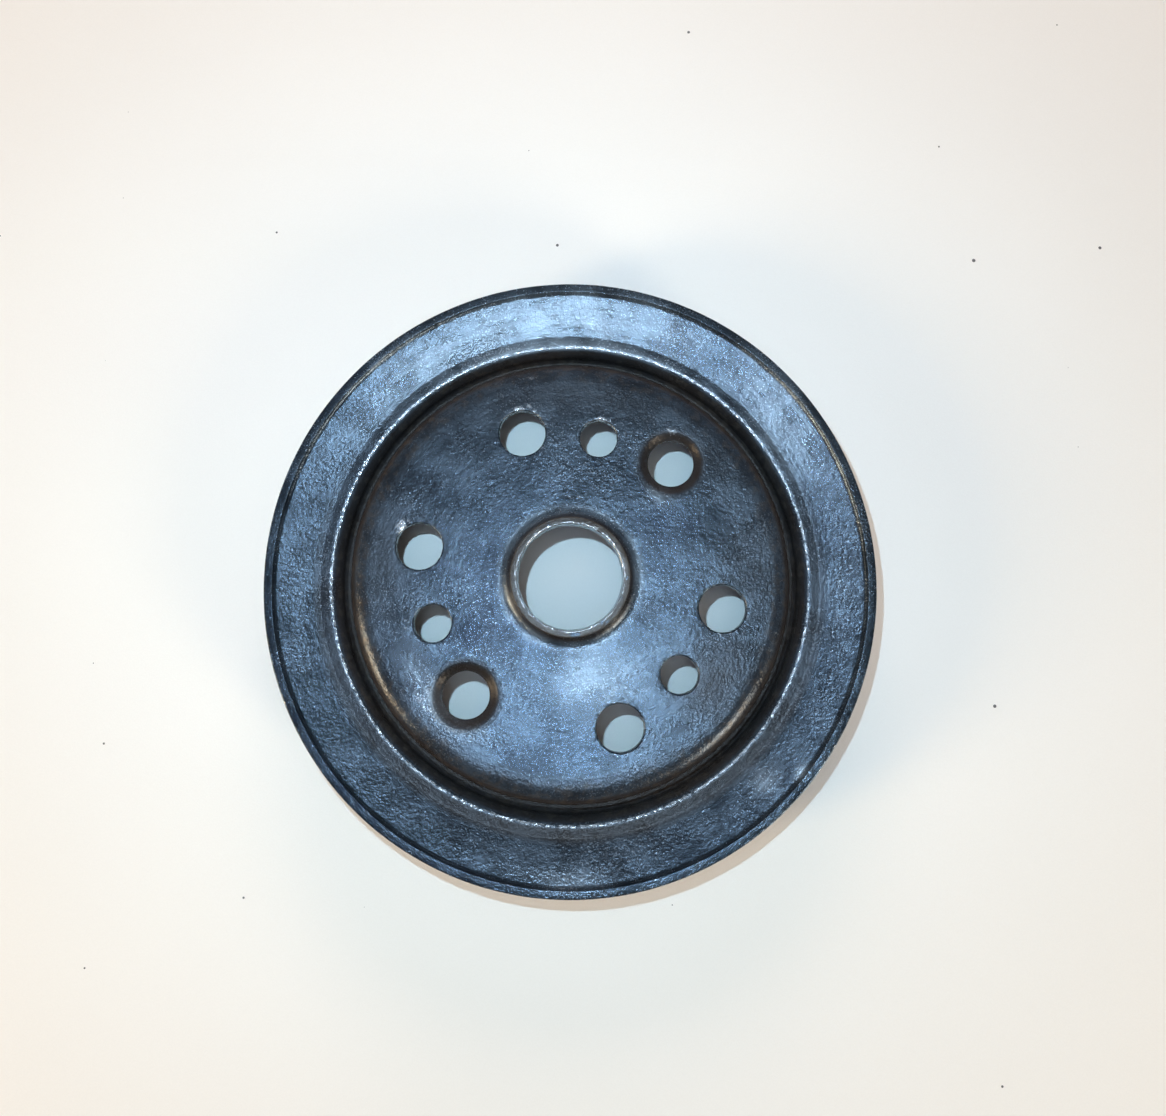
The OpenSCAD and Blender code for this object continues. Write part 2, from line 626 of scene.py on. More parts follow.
@dataclass(frozen=True)
class Workshop:
    """The two node trees that shape every piece.

    Args:
        sweep: sweeps a section round the axis.
        repeat: repeats a piece on a circle.
    """

    sweep: bpy.types.NodeTree
    repeat: bpy.types.NodeTree

    def turned(
        self,
        name: str,
        points: list[Point],
        steps: int,
        finish: bpy.types.Material,
        closed: bool = False,
    ) -> bpy.types.Mesh:
        """Sweeps a section round the axis.

        Args:
            name: name of the result.
            points: the section, as distances from the axis and heights.
            steps: how many steps the round has.
            finish: its material.
            closed: whether the section is a closed loop.

        Returns:
            The swept shell.
        """
        values = {"Steps": steps, "Material": finish}
        return run_nodes(name, section_mesh(points, closed), self.sweep, values)

    def ring(
        self,
        name: str,
        piece: bpy.types.Mesh,
        count: int,
        radius: float,
        turn: float,
        finish: bpy.types.Material,
        leave_out: int = NONE_LEFT_OUT,
    ) -> bpy.types.Mesh:
        """Repeats a piece on a circle, whose first place is turned from +X by some degrees."""
        values = {
            "Count": count,
            "Radius": radius,
            "Turn": math.radians(turn),
            "Leave Out": leave_out,
            "Material": finish,
        }
        return run_nodes(name, piece, self.repeat, values)


# -------- Shared shapes --------


@dataclass(frozen=True)
class Wobble:
    """Small unevenness of pressed sheet: every point sinks a little along its normal.

    Args:
        depth: deepest sink of the slow waves.
        size: distance between the slow waves.
        knock: depth of the small knocks.
        knock_size: distance between the small knocks.
    """

    depth: float = 0.05 * MM
    size: float = 14.0 * MM
    knock: float = 0.05 * MM
    knock_size: float = 3.5 * MM

    def apply(self, mesh: bpy.types.Mesh) -> None:
        """Sinks the points of a closed mesh."""
        moved = []
        for vertex in mesh.vertices:
            slow = 0.5 + 0.5 * noise.noise(vertex.co / self.size + Vector((SEED, 0, 0)))
            quick = noise.noise(vertex.co / self.knock_size + Vector((0, SEED, 0)))
            sink = self.depth * slow + self.knock * max(0.0, quick - 0.15)
            moved.append(vertex.co - vertex.normal * sink)
        for vertex, place in zip(mesh.vertices, moved):
            vertex.co = place


def band(value: float, low: float, high: float, soft: float) -> float:
    """1 between two limits, falling smoothly to 0 over a soft edge outside them."""
    outside = max(low - value, value - high, 0.0)
    share = max(0.0, 1.0 - outside / soft)
    return share * share * (3 - 2 * share)


def write_masks(mesh: bpy.types.Mesh, masks: dict[str, list[float]]) -> None:
    """Stores one value per point under each name that the materials read."""
    for name, values in masks.items():
        layer = mesh.attributes.new(name, "FLOAT", "POINT")
        layer.data.foreach_set("value", values)


def joined(name: str, meshes: list[bpy.types.Mesh], finish: bpy.types.Material) -> bpy.types.Mesh:
    """Joins meshes that share their border points into one closed mesh.

    Args:
        name: name of the result.
        meshes: the meshes, which are used up.
        finish: the material of the result.

    Returns:
        A mesh with no doubled points and with its faces looking outwards.
    """
    whole = bmesh.new()
    for mesh in meshes:
        whole.from_mesh(mesh)
        bpy.data.meshes.remove(mesh)
    bmesh.ops.remove_doubles(whole, verts=whole.verts, dist=MERGE_GAP)
    bmesh.ops.recalc_face_normals(whole, faces=whole.faces)
    open_edges = sum(not edge.is_manifold for edge in whole.edges)
    for face in whole.faces:
        face.smooth = True
        face.material_index = 0
    result = bpy.data.meshes.new(name)
    whole.to_mesh(result)
    whole.free()
    result.materials.clear()
    result.materials.append(finish)
    LOG.info("%s: %d faces, %d open edges", name, len(result.polygons), open_edges)
    return result


def shown(name: str, data: bpy.types.ID) -> bpy.types.Object:
    """Puts a mesh, a light or a camera in the scene, at the origin."""
    thing = bpy.data.objects.new(name, data)
    bpy.context.scene.collection.objects.link(thing)
    return thing


# -------- Finishes --------


def grain_group() -> bpy.types.NodeTree:
    """Shader group: the pebbly skin of old paint, as a height, a slow tone and single grains that are
    painted glints.
    """
    recipe = NodeRecipe.group(
        "paint_grain",
        "Shader",
        {"Vector": "Vector", "Pebbles": "Float", "Coarse": "Float"},
        {"Height": "Float", "Tone": "Float", "Sparkle": "Float"},
    )
    given = recipe.add("NodeGroupInput").outputs
    vector, pebbles = given["Vector"], given["Pebbles"]
    cells = recipe.add(
        "ShaderNodeTexVoronoi", {"Vector": vector, "Scale": pebbles}, feature="SMOOTH_F1"
    )
    fine = recipe.noise(vector, recipe.times(pebbles, 2.1), 3.0)
    slow = recipe.noise(vector, given["Coarse"], 4.0)
    bumps = recipe.times(recipe.minus(1.0, cells.outputs["Distance"]), 0.6)
    # single bright grains, painted glints, stand out where the fine noise peaks, and more of them
    # where the skin is coarse
    patches = recipe.noise(vector, 45.0, 3.0)
    peaks = recipe.plus(fine, recipe.times(patches, 0.35))
    recipe.add(
        "NodeGroupOutput",
        {
            "Height": recipe.plus(bumps, recipe.times(fine, 0.9), slow),
            "Tone": slow,
            "Sparkle": recipe.ramp(peaks, 0.78, 0.9, smooth=True),
        },
    )
    return recipe.tree


def streak_group() -> bpy.types.NodeTree:
    """Shader group: faint rings about the axis, as left by turning and wiping, from 0 to 1."""
    recipe = NodeRecipe.group(
        "ring_streaks", "Shader", {"Vector": "Vector", "Lines": "Float"}, {"Streak": "Float"}
    )
    given = recipe.add("NodeGroupInput").outputs
    x, y, z = recipe.add("ShaderNodeSeparateXYZ", {"Vector": given["Vector"]}).outputs
    radius = recipe.math("SQRT", recipe.plus(recipe.times(x, x), recipe.times(y, y)))
    # the direction from the axis is kept as a unit vector, so the rings have no seam
    turned = recipe.add(
        "ShaderNodeCombineXYZ",
        {
            "X": recipe.math("DIVIDE", x, radius),
            "Y": recipe.math("DIVIDE", y, radius),
            "Z": recipe.times(recipe.plus(radius, z), given["Lines"]),
        },
    ).outputs[0]
    recipe.add("NodeGroupOutput", {"Streak": recipe.noise(turned, 2.0, 4.0)})
    return recipe.tree


def wear_group() -> bpy.types.NodeTree:
    """Shader group: breaks an even mask into chipped patches, from 0 to 1."""
    recipe = NodeRecipe.group(
        "chipped_wear",
        "Shader",
        {"Vector": "Vector", "Mask": "Float", "Scale": "Float", "Reach": "Float"},
        {"Wear": "Float"},
    )
    given = recipe.add("NodeGroupInput").outputs
    chips = recipe.noise(given["Vector"], given["Scale"], 5.0, Roughness=0.65)
    pushed = recipe.plus(chips, recipe.times(given["Mask"], given["Reach"]))
    worn = recipe.ramp(pushed, 0.72, 0.82, smooth=True)
    recipe.add("NodeGroupOutput", {"Wear": recipe.times(worn, given["Mask"], clamp=True)})
    return recipe.tree


@dataclass(frozen=True)
class SharedEffects:
    """The shader groups that every paint uses."""

    grain: bpy.types.NodeTree
    wear: bpy.types.NodeTree
    streak: bpy.types.NodeTree


def empty_material(name: str) -> tuple[bpy.types.Material, NodeRecipe]:
    """A material with no nodes, and the recipe that fills it."""
    material = bpy.data.materials.new(name)
    material.use_nodes = True
    material.node_tree.nodes.clear()
    return material, NodeRecipe(material.node_tree)


@dataclass(frozen=True)
class PaintedSteel:
    """Old dark paint on pressed steel, with bare metal, brown rubbing, grimy places, painted shade
    and painted highlights.

    Args:
        name: name of the material.
        paint: the paint's darker tone.
        slate: the paint's lighter tone.
        pit: the painted shade in the pits of its skin.
        frost_and_highlight: the tone of the pale places, partly frosty paint and partly painted
            highlights.
        dirt_and_shade: the tone of grimy places and of painted shade.
        brown: the tone of rubbed, rusty edges, and of painted shade on the shoulder.
        bare: bare steel.
        sparkle: strength of the single bright grains, which are painted glints.
        roughness: roughness of clean paint.
        metal: how metallic clean paint is.
        pebbles: pebbles of the paint's skin per metre.
        coarse: slow changes of tone per metre.
        rings: faint rings per metre.
        bump: height of the skin in metres.
    """

    name: str
    paint: Colour = Colour(0.042, 0.062, 0.09)
    slate: Colour = Colour(0.09, 0.127, 0.176)
    pit: Colour = Colour(0.012, 0.016, 0.022)
    frost_and_highlight: Colour = Colour(0.3, 0.37, 0.45)
    dirt_and_shade: Colour = Colour(0.022, 0.0155, 0.0115)
    brown: Colour = Colour(0.048, 0.039, 0.032)
    bare: Colour = Colour(0.5, 0.54, 0.6)
    sparkle: float = 0.22
    roughness: float = 0.2
    metal: float = 0.82
    pebbles: float = 1050.0
    coarse: float = 130.0
    rings: float = 420.0
    bump: float = 0.11 * MM

    def make(self, shared: SharedEffects) -> bpy.types.Material:
        """Builds the material.

        Args:
            shared: the node groups that all materials use.

        Returns:
            The material.
        """
        material, recipe = empty_material(self.name)
        place = recipe.add("ShaderNodeTexCoord").outputs["Object"]
        skin = recipe.add(
            "ShaderNodeGroup",
            {"Vector": place, "Pebbles": self.pebbles, "Coarse": self.coarse},
            node_tree=shared.grain,
        ).outputs
        streak = recipe.add(
            "ShaderNodeGroup", {"Vector": place, "Lines": self.rings}, node_tree=shared.streak
        ).outputs[0]
        bare, brown, grime_and_shade, frost_and_highlight = (
            recipe.add("ShaderNodeAttribute", attribute_name=name).outputs["Fac"]
            for name in ("bare", "brown", "grime_and_shade", "frost_and_highlight")
        )
        # two of the masks are broken into chips: so many per metre, and reaching so far
        bare, brown = (
            recipe.add(
                "ShaderNodeGroup",
                {"Vector": place, "Mask": mask, "Scale": scale, "Reach": reach},
                node_tree=shared.wear,
            ).outputs["Wear"]
            for mask, scale, reach in ((bare, 900.0, 0.42), (brown, 420.0, 0.5))
        )
        mixed = recipe.plus(recipe.times(skin["Tone"], 0.6), recipe.times(streak, 0.4))
        tone = recipe.ramp(mixed, 0.36, 0.64)
        # painted shade: the lowest pits of the skin are darkened
        pits = recipe.ramp(skin["Height"], 1.34, 1.12, top=0.38)
        # the pale places are partly frosty paint and partly painted highlights
        frost_and_highlight = recipe.times(frost_and_highlight, recipe.plus(tone, 0.35))
        # painted glints: single grains take the colour of bare steel, most of them in the pale places
        gain = recipe.plus(recipe.times(frost_and_highlight, 0.9), self.sparkle)
        sparkle = recipe.times(skin["Sparkle"], gain, clamp=True)
        layers = (
            (tone, self.slate),
            (pits, self.pit),
            (frost_and_highlight, self.frost_and_highlight),
            (sparkle, self.bare),
            (grime_and_shade, self.dirt_and_shade),
            (brown, self.brown),
            (bare, self.bare),
        )
        colour = self.paint
        for share, over in layers:
            colour = recipe.mix(share, colour, over)
        rough = recipe.plus(
            recipe.times(tone, 0.08),
            self.roughness,
            recipe.times(grime_and_shade, 0.06),
            recipe.times(sparkle, 0.25),
        )
        # grimy places and painted shade lose metal and specular shine, and brown and pale places lose
        # some metal
        matt = recipe.plus(
            recipe.times(grime_and_shade, 0.75), recipe.times(brown, 0.45), recipe.times(frost_and_highlight, 0.35)
        )
        metal = recipe.math("MAXIMUM", recipe.minus(self.metal, matt, clamp=True), bare)
        bump = recipe.add(
            "ShaderNodeBump", {"Height": skin["Height"], "Strength": 1.0, "Distance": self.bump}
        )
        shader = recipe.add(
            "ShaderNodeBsdfPrincipled",
            {
                "Base Color": colour,
                "Roughness": recipe.minus(rough, recipe.times(bare, 0.1), clamp=True),
                "Metallic": metal,
                "Specular IOR Level": recipe.minus(0.5, recipe.times(grime_and_shade, 0.4)),
                "Normal": bump.outputs[0],
            },
        )
        recipe.add("ShaderNodeOutputMaterial", {"Surface": shader.outputs[0]})
        return material


# -------- Pieces --------


@dataclass(frozen=True)
class BoltCircle:
    """Holes of one shape at even angles about the axis.

    Args:
        hole: the shape of each hole.
        radius: radius of the bolt circle, in metres.
        count: places on the circle.
        turn: angle of the first place from +X, in degrees.
        leave_out: every how many places one has no hole of this kind.
    """

    hole: Hole
    radius: float
    count: int
    turn: float
    leave_out: int = NONE_LEFT_OUT

    def azimuths(self) -> list[float]:
        """Angles of the holes, in radians."""
        kept = [i for i in range(self.count) if (i + 1) % self.leave_out]
        return [math.radians(self.turn) + math.tau * i / self.count for i in kept]

    def centres(self) -> list[Vector]:
        """Centres of the holes on the web."""
        return [Vector((math.cos(a), math.sin(a))) * self.radius for a in self.azimuths()]

    def loops(self, side: Side) -> list[list[Vector]]:
        """The outline of each hole in one face of the web."""
        found = []
        for azimuth, centre in zip(self.azimuths(), self.centres()):
            angles = [azimuth + math.tau * k / self.hole.sides for k in range(self.hole.sides)]
            reach = self.hole.opening(side)
            found.append([centre + Vector((math.cos(a), math.sin(a))) * reach for a in angles])
        return found


def round_loop(radius: float, steps: int) -> list[Vector]:
    """Even points on a circle about the axis."""
    angles = [math.tau * k / steps for k in range(steps)]
    return [Vector((math.cos(a), math.sin(a))) * radius for a in angles]


@dataclass(frozen=True)
class Patch:
    """A place on the front, in millimetres, that is pale with frosty paint and painted highlight,
    chipped, or darkened by painted shade.

    Args:
        azimuth: its angle from +X, in degrees.
        radius: its distance from the axis.
        around: how far it reaches each way round the axis.
        across: how far it reaches inwards and outwards.
        strength: how bright it is at its middle.
    """

    azimuth: float
    radius: float
    around: float
    across: float
    strength: float

    def at(self, radius: float, azimuth: float) -> float:
        """Strength at a point, falling off towards the patch's edge."""
        turn = (azimuth - self.azimuth + 180) % 360 - 180
        off_around = math.radians(turn) * self.radius / self.around
        off_across = (radius - self.radius) / self.across
        return self.strength * math.exp(-(off_around**2 + off_across**2))


# pale places on the flange, partly frosty paint and partly painted highlights where the light falls
# on the top of the flange
FLANGE_FROST_AND_HIGHLIGHT = (
    Patch(92, 68, 34, 7, 0.6),
    Patch(124, 66, 20, 6, 0.5),
    Patch(38, 68, 18, 7, 0.55),
    Patch(0, 68, 13, 5, 0.08),
    Patch(-46, 68, 4, 3, 0.45),
    Patch(-40, 73, 2, 1, 0.8),
    Patch(-92, 72, 12, 2, 0.3),
    Patch(92, 61.5, 34, 2.4, 0.75),
)
# pale places on the web, partly frosty paint and partly painted highlights, as below the bore and
# beside a sunk hole
WEB_FROST_AND_HIGHLIGHT = (
    Patch(222, 44, 11, 3, 0.6),
    Patch(-78, 24.7, 9, 7, 0.4),
    Patch(43.7, 30.5, 3, 2.5, 0.7),
)
# painted shade: darker places on the outer web and low on the flange
SHADE_PATCHES = (
    Patch(88, 48, 34, 9, 0.45),
    Patch(42, 47, 16, 7, 0.35),
    Patch(0, 46, 16, 9, 0.3),
    Patch(-35, 43, 12, 9, 0.5),
    Patch(175, 47, 20, 8, 0.4),
    Patch(-90, 66, 40, 4, 0.25),
)
CHIPS = (
    Patch(106, 44.3, 4, 0.9, 0.9),
    Patch(80, 40.6, 3, 0.9, 0.9),
    Patch(163, 43.6, 3, 1.6, 0.9),
    Patch(196, 41.5, 2, 1.5, 0.6),
    Patch(56, 44.5, 3.5, 1.0, 0.7),
    Patch(101, 51.2, 4, 0.8, 0.6),
    Patch(222, 46.5, 8, 1.5, 0.6),
    Patch(90, 20.0, 7, 0.6, 0.6),
)


@dataclass(frozen=True)
class FrontPressing:
    """The front pressing: collar, pierced web, shoulder, channel, shelf and front flange."""

    section: PulleySection
    circles: tuple[BoltCircle, ...]
    workshop: Workshop
    rim_steps: int = 384
    collar_steps: int = 160
    grid: float = 1.1 * MM
    clear: float = 0.6 * MM

    def build(self, finish: bpy.types.Material) -> bpy.types.Object:
        """Builds the pressing as one closed mesh.

        Args:
            finish: its material.

        Returns:
            The piece, at the origin.
        """
        s = self.section
        rim_line = s.outline(s.rim_chain(), closed=False)
        collar_line = s.outline(s.collar_chain(), closed=False)
        rim = self.workshop.turned("rim_shell", rim_line, self.rim_steps, finish)
        collar = self.workshop.turned("collar_shell", collar_line, self.collar_steps, finish)
        walls = [self._walls(circle, finish) for circle in self.circles]
        plates = [self._plate(side) for side in Side]
        mesh = joined("front_pressing_worn_with_painted_light", [rim, collar, *walls, *plates], finish)
        Wobble().apply(mesh)
        self._dress(mesh)
        return shown("front_pressing_worn_with_painted_light", mesh)

    def _walls(self, circle: BoltCircle, finish: bpy.types.Material) -> bpy.types.Mesh:
        """The walls of all holes on one bolt circle."""
        profile = circle.hole.wall_profile(self.section.web_front * MM, self.section.web_rear * MM)
        wall = self.workshop.turned("hole_wall", profile, circle.hole.sides, finish)
        return self.workshop.ring(
            "hole_walls", wall, circle.count, circle.radius, circle.turn, finish, circle.leave_out
        )

    def _plate(self, side: Side) -> bpy.types.Mesh:
        """One face of the flat web, pierced by the holes and filled with even triangles."""
        front = side is Side.FRONT
        height = (self.section.web_front if front else self.section.web_rear) * MM
        loops = [
            round_loop(self.section.web_outer * MM, self.rim_steps),
            round_loop(self.section.web_inner * MM, self.collar_steps),
        ]
        for circle in self.circles:
            loops += circle.loops(side)
        places: list[Vector] = []
        edges: list[tuple[int, int]] = []
        for loop in loops:
            first = len(places)
            places += loop
            edges += [(first + i, first + (i + 1) % len(loop)) for i in range(len(loop))]
        places += self._filling(side)
        in_mm = [place / MM for place in places]
        points, _, faces, *_ = geometry.delaunay_2d_cdt(in_mm, edges, [], 0, 1e-6)
        kept = [face for face in faces if not self._in_hole(face, points, side)]
        mesh = bpy.data.meshes.new("web_" + side.value)
        mesh.from_pydata([(p.x * MM, p.y * MM, height) for p in points], [], kept)
        return mesh

    def _filling(self, side: Side) -> list[Vector]:
        """A grid of points over the web, kept clear of every edge."""
        outer = self.section.web_outer * MM
        inner = self.section.web_inner * MM
        row = self.grid * math.sqrt(3) / 2
        count = math.ceil(outer / row)
        found = []
        for j in range(-count, count + 1):
            for i in range(-count, count + 1):
                spot = Vector(((i + 0.5 * (j % 2)) * self.grid, j * row))
                shift = noise.noise_vector(Vector((*spot, 0.0)) / (0.4 * self.grid))
                spot += 0.2 * self.grid * shift.to_2d()
                if not inner + self.clear < spot.length < outer - self.clear:
                    continue
                if all(
                    (spot - centre).length > circle.hole.opening(side) + self.clear
                    for circle in self.circles
                    for centre in circle.centres()
                ):
                    found.append(spot)
        return found

    def _in_hole(self, face: list[int], points: list[Vector], side: Side) -> bool:
        """Whether a triangle of the web lies in the bore or in a bolt hole."""
        middle = sum((points[i] for i in face), Vector((0.0, 0.0))) / len(face)
        if middle.length < self.section.web_inner * math.cos(math.pi / self.collar_steps):
            return True
        for circle in self.circles:
            apothem = circle.hole.opening(side) / MM * math.cos(math.pi / circle.hole.sides)
            if any((middle - centre / MM).length < apothem for centre in circle.centres()):
                return True
        return False

    def _dress(self, mesh: bpy.types.Mesh) -> None:
        """Stores where the paint is worn to metal, rubbed brown, grimy, pale with frosty paint and
        painted highlight, or darkened by painted shade.
        """
        masks = {"bare": [], "brown": [], "grime_and_shade": [], "frost_and_highlight": []}
        for vertex in mesh.vertices:
            spot = vertex.co / MM
            bare, brown, grime_and_shade = self._wear_and_shade_at(spot)
            frost_and_highlight, chips, shade_patch = self._patches_at(spot)
            masks["bare"].append(max(bare, chips))
            masks["brown"].append(brown)
            masks["grime_and_shade"].append(max(grime_and_shade, shade_patch))
            masks["frost_and_highlight"].append(frost_and_highlight)
        write_masks(mesh, masks)

    def _patches_at(self, spot: Vector) -> tuple[float, float, float]:
        """How pale with frosty paint and painted highlight, how chipped, and how darkened by painted
        shade the paint is at a point given in millimetres.
        """
        s = self.section
        radius = spot.to_2d().length
        web = radius < s.wall_radius
        lowest = max(s.shelf_height + s.sheet, s.web_rear + 1.0 if web else 0.0) - 0.5
        if spot.z < lowest:
            return 0.0, 0.0, 0.0
        azimuth = math.degrees(math.atan2(spot.y, spot.x))
        pale_patches = WEB_FROST_AND_HIGHLIGHT if web else FLANGE_FROST_AND_HIGHLIGHT
        frost_and_highlight = max(patch.at(radius, azimuth) for patch in pale_patches)
        chips = max(patch.at(radius, azimuth) for patch in CHIPS)
        shade_patch = max(patch.at(radius, azimuth) for patch in SHADE_PATCHES)
        # painted highlight: the fillet round the collar is made paler
        frost_and_highlight = max(frost_and_highlight, 0.35 * band(radius, s.collar_radius + 1.8, s.web_inner, 0.9))
        return frost_and_highlight, chips, shade_patch

    def _wear_and_shade_at(self, spot: Vector) -> tuple[float, float, float]:
        """How bare, brown and grimy the paint is at a point given in millimetres, with painted shade
        in part of the brown and grimy places and a painted highlight in the bare line along the lip.
        """
        s = self.section
        radius = spot.to_2d().length
        front = spot.z > s.foot_height + 0.5 * s.sheet
        top = band(spot.z, s.rim_height - 0.35, s.rim_height + 0.1, 0.3)
        rim_edges = top * max(
            band(radius, s.rim_radius - 0.35, s.rim_radius, 0.25),
            band(radius, s.rim_radius - s.sheet - 0.3, s.rim_radius - s.sheet + 0.25, 0.2),
        )
        land = top * band(radius, s.rim_radius - s.sheet, s.rim_radius, 0.3)
        # the thin bare line along the lip is worn metal and a painted highlight
        lip = 0.0
        if front and spot.z < s.shelf_height + s.sheet + 0.5:
            lip = band(radius, s.lip_radius + 2.15, s.lip_radius + 2.4, 0.4)
        collar = band(spot.z, s.collar_top - 0.3, s.collar_top, 0.3)
        collar *= band(radius, s.bore_radius, s.collar_radius, 0.3)
        bore_edge = collar * band(radius, s.bore_radius, s.bore_radius + 0.25, 0.3)
        holes, sunk = self._hole_wear_and_shade(spot)
        belt = band(spot.z, s.foot_height + 0.6, s.shelf_height + 4.0, 0.6)
        belt *= band(radius, s.lip_radius + s.sheet + 2.0, s.rim_radius - 1.0, 1.0)
        belt *= 1.0 if spot.z < s.shelf_height + (radius - s.lip_radius) * s.slope * 0.9 else 0.0
        # painted shade: the channel, the shoulder and the collar's foot are made darker and less
        # shiny
        channel = band(radius, s.wall_radius - 1.5, s.lip_radius + 1.0, 1.6)
        shoulder = band(radius, s.web_outer + 1.0, s.lip_radius, 5.0)
        shelf = 0.0
        # painted shade: the shelf is darker towards the bottom
        if front:
            shelf = band(radius, s.lip_radius + 2.9, s.flange_out_radius + 0.8, 0.8)
            shelf *= 0.5 - 0.5 * spot.y / radius
        foot = band(radius, s.collar_radius, s.collar_radius + 0.9, 1.0) if front else 0.0
        bare = max(0.82 * lip, 0.36 * rim_edges, 0.8 * bore_edge, 0.4 * holes, 0.35 * belt)
        brown = max(0.3 * land, 0.8 * collar, 0.45 * shoulder)
        grime_and_shade = max(0.9 * channel, 0.38 * shoulder, 0.9 * sunk, 0.75 * shelf, 0.7 * foot - bore_edge)
        return bare, brown, grime_and_shade

    def _hole_wear_and_shade(self, spot: Vector) -> tuple[float, float]:
        """How worn the edges of the plain holes are at a point, and how darkened by painted shade the
        sunk holes are there.
        """
        s = self.section
        face = band(spot.z, s.web_front - 0.4, s.web_front, 0.3)
        worn = sunk = 0.0
        for circle in self.circles:
            opening = circle.hole.opening(Side.FRONT) / MM
            gap = min((spot.to_2d() - centre / MM).length for centre in circle.centres()) - opening
            if circle.hole.kind is HoleKind.SUNK:
                # painted shade darkens the dip round each sunk hole
                sunk = max(sunk, band(gap, -opening, -1.2, 2.6) if spot.z > s.web_rear else 0.0)
            else:
                worn = max(worn, band(gap, -0.35, 0.0, 0.2) * face)
        return worn, sunk


@dataclass(frozen=True)
class RearFlangeRing:
    """The rear flange of the groove, with a flat inner part under the channel."""

    section: PulleySection
    workshop: Workshop
    weld_count: int
    weld_turn: float
    steps: int = 384

    def build(self, finish: bpy.types.Material) -> bpy.types.Object:
        """Sweeps the ring round the axis and presses the weld marks into its rear face."""
        outline = self.section.outline(self.section.ring_chain(), closed=True)
        swept = self.workshop.turned("ring_shell", outline, self.steps, finish, closed=True)
        mesh = joined("rear_flange_ring_worn", [swept], finish)
        self._press_welds(mesh)
        Wobble().apply(mesh)
        self._dress(mesh)
        return shown("rear_flange_ring_worn", mesh)

    def _press_welds(self, mesh: bpy.types.Mesh) -> None:
        """Sinks the rear face a little at each spot weld."""
        s = self.section
        rear_face = (s.foot_height - s.sheet) * MM
        for vertex in mesh.vertices:
            if vertex.co.z > rear_face + 0.2 * s.sheet * MM:
                continue
            gap = self._weld_gap(vertex.co)
            vertex.co.z += s.weld_dent * MM * band(gap, 0.0, 0.45 * s.weld_width * MM, 0.6 * MM)

    def _weld_gap(self, spot: Vector) -> float:
        """Distance from a point to the nearest weld's axis, in metres."""
        step = math.tau / self.weld_count
        azimuth = math.atan2(spot.y, spot.x) - math.radians(self.weld_turn)
        off = (azimuth + step / 2) % step - step / 2
        radius = spot.to_2d().length
        across = radius * math.sin(off)
        along = radius * math.cos(off) - self.section.weld_radius * MM
        return math.hypot(across, along)

    def _dress(self, mesh: bpy.types.Mesh) -> None:
        """Stores where the paint is worn to metal, rubbed brown or grimy."""
        s = self.section
        masks = {"bare": [], "brown": [], "grime_and_shade": []}
        for vertex in mesh.vertices:
            radius = vertex.co.to_2d().length / MM
            height = vertex.co.z / MM
            groove = band(height, s.rim_raise + s.sheet, s.foot_height + 0.5, 0.8)
            groove *= band(radius, s.flange_in_radius + 1.0, s.rim_radius - 0.6, 0.8)
            rim = band(radius, s.rim_radius - 0.5, s.rim_radius, 0.3)
            inner = band(radius, 0.0, s.wall_radius - s.sheet + 0.3, 0.4)
            weld = band(self._weld_gap(vertex.co) / MM, 0.0, 0.7 * s.weld_width, 0.8)
            masks["bare"].append(max(0.35 * groove, 0.6 * rim, 0.5 * inner))
            masks["brown"].append(max(0.8 * rim, 0.5 * weld, 0.6 * inner))
            masks["grime_and_shade"].append(0.5 * weld)
        write_masks(mesh, masks)


@dataclass(frozen=True)
class SpotWelds:
    """The spot welds that hold the two pressings together."""

    section: PulleySection
    workshop: Workshop
    count: int
    turn: float
    steps: int = 32

    def build(self, finish: bpy.types.Material) -> bpy.types.Object:
        """Builds one weld and repeats it on its circle."""
        outline = self.section.outline(self.section.weld_chain(), closed=False)
        points = [(max(r, SWEEP_RADIUS), z) for r, z in outline]
        one = self.workshop.turned("weld", points, self.steps, finish)
        closed = joined("weld", [one], finish)
        radius = self.section.weld_radius * MM
        ring = self.workshop.ring("spot_welds_worn", closed, self.count, radius, self.turn, finish)
        mesh = joined("spot_welds_worn", [ring], finish)
        count = len(mesh.vertices)
        write_masks(mesh, {"bare": [0.4] * count, "brown": [0.8] * count, "grime_and_shade": [0.3] * count})
        return shown("spot_welds_worn", mesh)


# -------- Studio --------

AIM = Vector((0.0, 0.0, 0.01))  # where every panel looks


@dataclass(frozen=True)
class Panel:
    """A flat light that looks at the pulley.

    Args:
        name: name of the light.
        place: its centre.
        size: its width and length.
        power: its power in watts.
        colour: its colour.
        mirrored: whether glossy surfaces show it.
        scattered: whether matt surfaces are lit by it.
    """

    name: str
    place: tuple[float, float, float]
    size: tuple[float, float]
    power: float
    colour: Colour
    mirrored: bool = True
    scattered: bool = True

    def build(self) -> bpy.types.Object:
        """Adds the light to the scene."""
        lamp = bpy.data.lights.new(self.name, "AREA")
        lamp.shape = "RECTANGLE"
        lamp.size, lamp.size_y = self.size
        lamp.energy = self.power
        lamp.color = self.colour.rgba()[:3]
        light = shown(self.name, lamp)
        light.location = self.place
        look = AIM - Vector(self.place)
        light.rotation_euler = look.to_track_quat("-Z", "Y").to_euler()
        light.visible_glossy = self.mirrored
        light.visible_diffuse = self.scattered
        light.visible_camera = False
        return light


